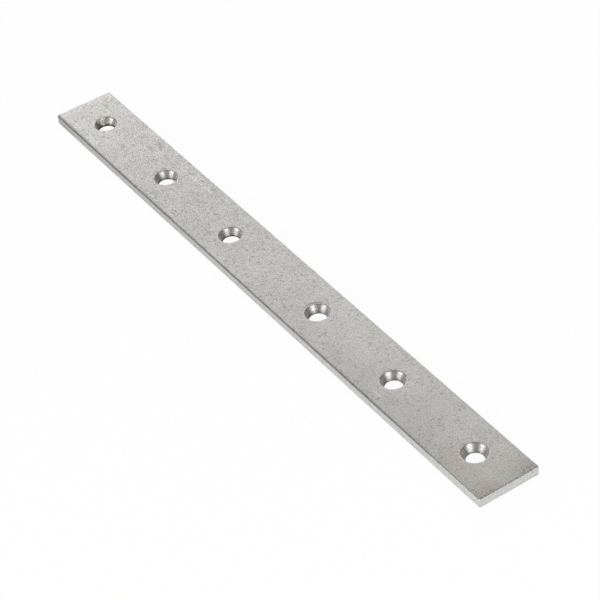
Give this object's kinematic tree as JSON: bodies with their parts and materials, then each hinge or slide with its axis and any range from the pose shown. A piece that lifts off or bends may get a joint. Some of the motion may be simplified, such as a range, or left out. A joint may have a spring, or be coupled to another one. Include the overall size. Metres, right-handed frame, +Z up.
{
  "type": "mending plate",
  "caption": "Flat steel mending plate with one row of countersunk screw holes, screwed across a joint or crack in timber to hold it.",
  "frame": {"origin": "centre of the underside", "axes": "+X along the plate towards the end with the deepest countersink, +Y across it, +Z up out of the countersunk face"},
  "size_m": [0.254, 0.0222, 0.0032],
  "materials": {
    "zinc_plated_steel": "matt zinc plating over mill-finished steel, bright turned countersinks"
  },
  "bodies": {
    "root": {"mending_plate": "zinc_plated_steel"}
  },
  "joints": []
}
